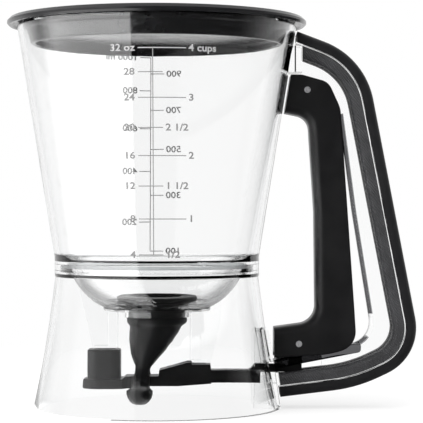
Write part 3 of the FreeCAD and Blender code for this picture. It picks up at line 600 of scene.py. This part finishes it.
def ring_point(ring, angle, inset):
    """A point of a ring, in metres; a pinched ring is flat in the middle with a round lobe at each end."""
    x, z, half_x, half_y, pinch = ring
    half_x, half_y = half_x - inset, half_y - inset
    across, deep = math.cos(angle), math.sin(angle)
    middle = 1.0 - min(1.0, abs(deep) / FLAT_REACH) ** 3
    flat = max(LEAST_HALF, PINCH_HALF - inset) / max(half_x, LEAST_HALF)
    lobe = math.sqrt(max(0.0, 1 - ((abs(deep) - LOBE_MIDDLE) / LOBE_HALF) ** 2))
    pinched = math.copysign(max(flat * middle, lobe, LEAST_WIDTH), across) if abs(deep) < TIP_FROM else 0.0
    width = across * (1 - pinch) + pinched * pinch
    return Vector((x + half_x * width, half_y * deep, z)) / 1000


def ring_row(bm, ring, inset):
    return [bm.verts.new(ring_point(ring, 2 * math.pi * i / SPOUT_SIDES, inset)) for i in range(SPOUT_SIDES)]


def join_rows(bm, upper, lower):
    for i in range(SPOUT_SIDES):
        j = (i + 1) % SPOUT_SIDES
        bm.faces.new((upper[i], upper[j], lower[j], lower[i])).smooth = True


def spout_mesh():
    """The outer and the inner skin, joined at the mouth and at the tip's hole."""
    bm = bmesh.new()
    outer = [ring_row(bm, ring, 0.0) for ring in SPOUT_RINGS]
    inner = [ring_row(bm, SPOUT_MOUTH, 0.0)]
    inner += [ring_row(bm, ring, SPOUT_WALL) for ring in SPOUT_RINGS[1:]]
    for skin in (outer, inner):
        for upper, lower in zip(skin, skin[1:]):
            join_rows(bm, upper, lower)
    join_rows(bm, outer[0], inner[0])
    join_rows(bm, inner[-1], outer[-1])
    bmesh.ops.recalc_face_normals(bm, faces=bm.faces)
    mesh = bpy.data.meshes.new("spout_skin")
    bm.to_mesh(mesh)
    bm.free()
    return mesh


def place_spout():
    """The skin stands in for the plain solid."""
    piece = bpy.data.objects.new("spout_skin", spout_mesh())
    bpy.context.scene.collection.objects.link(piece)
    piece.data.materials.append(MATERIALS["silicone"])
    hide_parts("spout")
    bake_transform(piece)


place_spout()


def studio_around(tree, place):
    """What a reflection meets: white behind, a soft box at left front, dark in front."""
    split = tree.nodes.new("ShaderNodeSeparateXYZ")
    tree.links.new(place, split.inputs[0])
    x, y, z = split.outputs
    leftwards = math_node(tree, "MULTIPLY", x, -1.0)
    forwards = math_node(tree, "MULTIPLY", y, -1.0)
    turn = math_node(tree, "DEGREES", math_node(tree, "ARCTAN2", leftwards, forwards))
    box = ramp_node(tree, turn, BOX_FROM - BOX_EDGE, BOX_FROM + BOX_EDGE)
    for factor in (
        ramp_node(tree, turn, BOX_TO - BOX_TAIL, BOX_TO, 1.0, 0.0),
        ramp_node(tree, z, BOX_LOW_Z, BOX_HIGH_Z, BOX_LEVEL, BOX_HIGH_LEVEL),
        ramp_node(tree, z, *BOX_OVERHEAD, 1.0, BOX_OVERHEAD_LEVEL),
    ):
        box = math_node(tree, "MULTIPLY", box, factor)
    either_way = math_node(tree, "ABSOLUTE", turn)
    behind = ramp_node(tree, either_way, FRONT_TO, BEHIND_FROM, FRONT_LEVEL, 1.0)
    return math_node(tree, "MAXIMUM", box, behind)


def ray_kinds(tree):
    """Factors for mirrored light, for a straight look, and for a straight look through clear plastic."""
    light_path = tree.nodes.new("ShaderNodeLightPath")
    mirrored = ramp_node(tree, light_path.outputs["Glossy Depth"], 0.0, 1.0)
    scattered = ramp_node(tree, light_path.outputs["Diffuse Depth"], 0.0, 1.0)
    straight = math_node(tree, "SUBTRACT", 1.0, math_node(tree, "MAXIMUM", mirrored, scattered))
    through = math_node(tree, "MULTIPLY", light_path.outputs["Is Transmission Ray"], straight)
    seen = math_node(tree, "MAXIMUM", light_path.outputs["Is Camera Ray"], through)
    mirrored = math_node(tree, "MULTIPLY", mirrored, math_node(tree, "SUBTRACT", 1.0, scattered))
    return mirrored, seen, through


def white_floor():
    """Diffuse near the object, where its shadow lies, and fading into the plain white further out."""
    material = bpy.data.materials.new("floor")
    material.use_nodes = True
    tree = material.node_tree
    tree.nodes.clear()
    mirrored, seen, through = ray_kinds(tree)
    place = tree.nodes.new("ShaderNodeTexCoord").outputs["Object"]
    length = tree.nodes.new("ShaderNodeVectorMath")
    length.operation = "LENGTH"
    tree.links.new(place, length.inputs[0])
    distance = length.outputs["Value"]
    fade = math_node(tree, "MULTIPLY", ramp_node(tree, distance, *FLOOR_FADE, SHADOW_LIFT, 1.0), seen)
    fade = math_node(tree, "MAXIMUM", fade, math_node(tree, "MULTIPLY", through, THROUGH_LIFT))
    reach = ramp_node(tree, distance, *NEAR_FLOOR, NEAR_FLOOR_LEVEL, 1.0)
    studio = math_node(tree, "MULTIPLY", studio_around(tree, place), reach)
    glow = tree.nodes.new("ShaderNodeEmission")
    tree.links.new(blend_node(tree, seen, studio, 1.0), glow.inputs["Strength"])
    paint = tree.nodes.new("ShaderNodeBsdfDiffuse")
    paint.inputs["Color"].default_value = FLOOR_COLOR
    reflected = math_node(tree, "MULTIPLY", mirrored, math_node(tree, "SUBTRACT", 1.0, seen))
    mix = tree.nodes.new("ShaderNodeMixShader")
    output = tree.nodes.new("ShaderNodeOutputMaterial")
    tree.links.new(math_node(tree, "MAXIMUM", fade, reflected), mix.inputs[0])
    tree.links.new(paint.outputs[0], mix.inputs[1])
    tree.links.new(glow.outputs[0], mix.inputs[2])
    tree.links.new(mix.outputs[0], output.inputs["Surface"])
    return material


def place_floor():
    half = FLOOR_SIZE / 2
    corners = [(-half, -half, 0), (half, -half, 0), (half, half, 0), (-half, half, 0)]
    mesh = bpy.data.meshes.new("floor")
    mesh.from_pydata(corners, [], [(0, 1, 2, 3)])
    mesh.materials.append(white_floor())
    plane = bpy.data.objects.new("floor", mesh)
    bpy.context.scene.collection.objects.link(plane)


place_floor()


def studio_world():
    """White for a straight look, the studio for mirrored light, and plain soft light for the rest."""
    world = bpy.data.worlds.new("studio")
    bpy.context.scene.world = world
    world.use_nodes = True
    tree = world.node_tree
    mirrored, seen, _ = ray_kinds(tree)
    direction = tree.nodes.new("ShaderNodeTexCoord").outputs["Generated"]
    level = blend_node(tree, mirrored, AMBIENT_LEVEL, studio_around(tree, direction))
    background = tree.nodes["Background"]
    background.inputs["Color"].default_value = (1, 1, 1, 1)
    tree.links.new(blend_node(tree, seen, level, 1.0), background.inputs["Strength"])


studio_world()


def soft_box(name, place, target, size, power):
    """A lamp that lights surfaces but shows in no reflection and through no clear piece."""
    light = bpy.data.lights.new(name, "AREA")
    light.shape = "RECTANGLE"
    light.size, light.size_y = size
    light.energy = power
    lamp = bpy.data.objects.new(name, light)
    bpy.context.scene.collection.objects.link(lamp)
    lamp.location = place
    lamp.visible_glossy = False
    lamp.visible_transmission = False
    lamp.rotation_euler = (Vector(target) - Vector(place)).to_track_quat("-Z", "Y").to_euler()


for lamp in LAMPS:
    soft_box(*lamp)


def camera():
    """Level, and as far away as the photograph's perspective says."""
    data = bpy.data.cameras.new("camera")
    data.sensor_width = SENSOR_MM
    data.lens = SENSOR_MM * FOCAL_PIXELS / FRAME_PIXELS
    data.clip_start = CLIP_START
    item = bpy.data.objects.new("camera", data)
    bpy.context.scene.collection.objects.link(item)
    x = (CENTRE_PIXEL - AXIS_PIXEL_X) * PIXEL
    z = (BASE_PIXEL_Y - CENTRE_PIXEL) * PIXEL
    item.location = (x, -FOCAL_PIXELS * PIXEL, z)
    item.rotation_euler = (math.radians(90), 0, 0)
    bpy.context.scene.camera = item


camera()
bpy.context.scene.view_settings.view_transform = "Standard"
